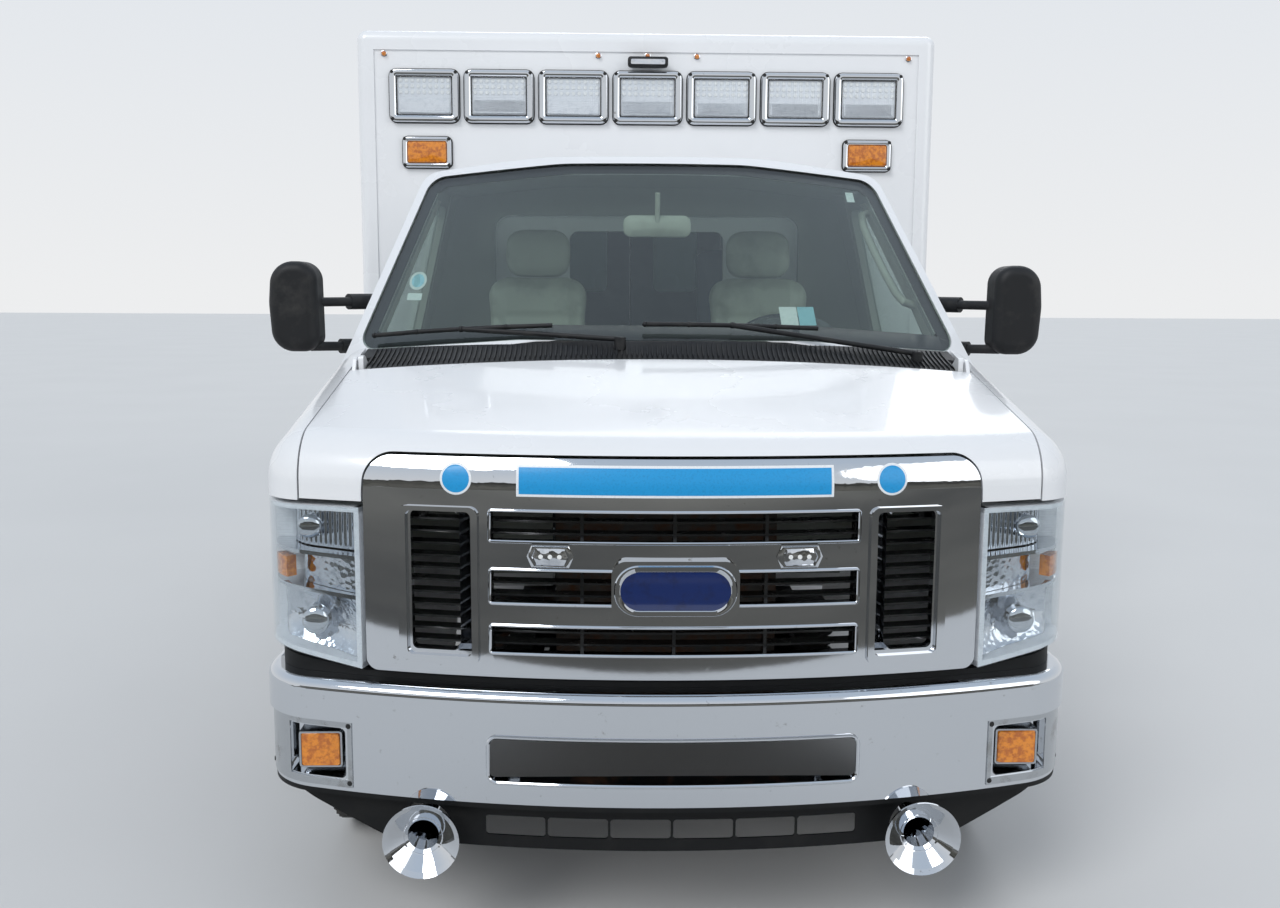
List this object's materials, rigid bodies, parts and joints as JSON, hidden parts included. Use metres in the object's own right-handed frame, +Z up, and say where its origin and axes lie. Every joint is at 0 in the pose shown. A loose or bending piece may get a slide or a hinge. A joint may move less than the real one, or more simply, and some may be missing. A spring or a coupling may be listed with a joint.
{
  "type": "ambulance",
  "caption": "Van-cab ambulance with a separate box-shaped patient module, opening doors, hood and lockers, steered front wheels and twin rear wheels.",
  "frame": {"origin": "on the ground, under the middle of the overall length and width", "axes": "+X to the vehicle's left (driver's side), +Y to the rear, +Z up; the vehicle faces -Y"},
  "size_m": [2.5106, 6.99, 2.722],
  "materials": {
    "white_paint": "glossy white two-pack paint",
    "chrome": "bright chrome plate",
    "stainless": "polished stainless steel",
    "clear_lens": "clear moulded lamp lens",
    "amber_lens": "amber moulded lamp lens",
    "red_lens": "red moulded lamp lens",
    "black_plastic": "textured black moulding",
    "dash_plastic": "grained dark grey moulding",
    "seat_vinyl": "soft grey vinyl",
    "glass": "clear safety glass",
    "black_steel": "black chassis paint",
    "cast_metal": "bare castings",
    "exhaust_steel": "dull aluminised steel",
    "aluminium_plate": "bare rolled aluminium",
    "cabinet_laminate": "pale cabinet laminate",
    "steel_wheel": "silver painted steel wheel",
    "tyre": "black tyre rubber"
  },
  "bodies": {
    "body": {"front_fenders": "white_paint", "grille": "chrome", "grille_insert": "black_plastic", "headlamps": "clear_lens", "front_bumper": "chrome", "amber_lamps": "amber_lens", "front_valance": "black_plastic", "air_horns": "chrome", "cab_shell": "white_paint", "windshield": "glass", "cowl_and_wipers": "black_plastic", "dashboard": "dash_plastic", "cab_seats": "seat_vinyl", "ladder_frame": "black_steel", "driveline": "cast_metal", "front_axle": "black_steel", "rear_axle": "black_steel", "exhaust": "exhaust_steel", "fuel_tank": "black_plastic", "module_roof": "white_paint", "module_front_wall": "white_paint", "module_rear_wall": "white_paint", "module_left_wall": "white_paint", "module_right_wall": "white_paint", "wheel_arch_trims": "stainless", "module_floor": "aluminium_plate", "lockers": "aluminium_plate", "cabin_fittings": "cabinet_laminate", "warning_lights": "clear_lens", "tail_lamps": "red_lens", "rear_step": "aluminium_plate", "running_boards": "aluminium_plate"},
    "hood": {"hood": "white_paint"},
    "steering_wheel": {"steering_wheel": "black_plastic"},
    "cab_door_left": {"cab_door_left": "white_paint", "cab_door_glass_left": "glass", "mirror_left": "black_plastic"},
    "knuckle_left": {"knuckle_left": "cast_metal"},
    "front_wheel_left": {"front_rim_left": "steel_wheel", "front_tyre_left": "tyre"},
    "rear_wheels_left": {"rear_rims_left": "steel_wheel", "rear_tyres_left": "tyre"},
    "rear_door_left": {"rear_door_left": "white_paint", "rear_door_glass_left": "glass"},
    "cab_door_right": {"cab_door_right": "white_paint", "cab_door_glass_right": "glass", "mirror_right": "black_plastic"},
    "knuckle_right": {"knuckle_right": "cast_metal"},
    "front_wheel_right": {"front_rim_right": "steel_wheel", "front_tyre_right": "tyre"},
    "rear_wheels_right": {"rear_rims_right": "steel_wheel", "rear_tyres_right": "tyre"},
    "rear_door_right": {"rear_door_right": "white_paint", "rear_door_glass_right": "glass"},
    "side_door": {"side_door": "white_paint", "side_door_glass": "glass"},
    "locker_door_left_front": {"locker_door_left_front": "white_paint"},
    "locker_door_left_middle": {"locker_door_left_middle": "white_paint"},
    "locker_door_left_rear": {"locker_door_left_rear": "white_paint"},
    "locker_door_right_rear": {"locker_door_right_rear": "white_paint"}
  },
  "joints": [
    {"name": "steer_left", "type": "hinge", "parent": "body", "child": "knuckle_left", "pos_m": [0.8, -2.54, 0.372], "axis": [0, 0, 1], "range_deg": [-32, 32]},
    {"name": "front_wheel_spin_left", "type": "hinge", "parent": "knuckle_left", "child": "front_wheel_left", "pos_m": [0.882, -2.54, 0.372], "axis": [1, 0, 0], "continuous": true},
    {"name": "rear_wheels_spin_left", "type": "hinge", "parent": "body", "child": "rear_wheels_left", "pos_m": [0.945, 1.473, 0.372], "axis": [1, 0, 0], "continuous": true},
    {"name": "cab_door_left_hinge", "type": "hinge", "parent": "body", "child": "cab_door_left", "pos_m": [1.0255, -2.349, 1.18], "axis": [0, 0, -1], "range_deg": [0, 65]},
    {"name": "rear_door_left_hinge", "type": "hinge", "parent": "body", "child": "rear_door_left", "pos_m": [0.703, 3.2525, 1.64], "axis": [0, 0, -1], "range_deg": [0, 110]},
    {"name": "steer_right", "type": "hinge", "parent": "body", "child": "knuckle_right", "pos_m": [-0.8, -2.54, 0.372], "axis": [0, 0, 1], "range_deg": [-32, 32]},
    {"name": "front_wheel_spin_right", "type": "hinge", "parent": "knuckle_right", "child": "front_wheel_right", "pos_m": [-0.882, -2.54, 0.372], "axis": [1, 0, 0], "continuous": true},
    {"name": "rear_wheels_spin_right", "type": "hinge", "parent": "body", "child": "rear_wheels_right", "pos_m": [-0.945, 1.473, 0.372], "axis": [1, 0, 0], "continuous": true},
    {"name": "cab_door_right_hinge", "type": "hinge", "parent": "body", "child": "cab_door_right", "pos_m": [-1.0255, -2.349, 1.18], "axis": [0, 0, 1], "range_deg": [0, 65]},
    {"name": "rear_door_right_hinge", "type": "hinge", "parent": "body", "child": "rear_door_right", "pos_m": [-0.703, 3.2525, 1.64], "axis": [0, 0, 1], "range_deg": [0, 110]},
    {"name": "steering_wheel_turn", "type": "hinge", "parent": "body", "child": "steering_wheel", "pos_m": [0.43, -2.025, 1.392], "axis": [0, 0.8829, 0.4695], "range_deg": [-544, 544]},
    {"name": "hood_hinge", "type": "hinge", "parent": "body", "child": "hood", "pos_m": [0, -2.679, 1.441], "axis": [-1, 0, 0], "range_deg": [0, 50]},
    {"name": "side_door_hinge", "type": "hinge", "parent": "body", "child": "side_door", "pos_m": [-1.2265, -0.858, 1.515], "axis": [0, 0, 1], "range_deg": [0, 95]},
    {"name": "locker_door_left_front_hinge", "type": "hinge", "parent": "body", "child": "locker_door_left_front", "pos_m": [1.2265, -0.918, 1.395], "axis": [0, 0, -1], "range_deg": [0, 110]},
    {"name": "locker_door_left_middle_hinge", "type": "hinge", "parent": "body", "child": "locker_door_left_middle", "pos_m": [1.2265, -0.198, 0.845], "axis": [0, 0, -1], "range_deg": [0, 110]},
    {"name": "locker_door_left_rear_hinge", "type": "hinge", "parent": "body", "child": "locker_door_left_rear", "pos_m": [1.2265, 2.062, 0.945], "axis": [0, 0, -1], "range_deg": [0, 110]},
    {"name": "locker_door_right_rear_hinge", "type": "hinge", "parent": "body", "child": "locker_door_right_rear", "pos_m": [-1.2265, 2.402, 1.395], "axis": [0, 0, 1], "range_deg": [0, 110]}
  ],
  "couplings": [
    {"joint": "steer_right", "follows": "steer_left", "ratio": 1},
    {"joint": "steering_wheel_turn", "follows": "steer_left", "ratio": 17}
  ]
}
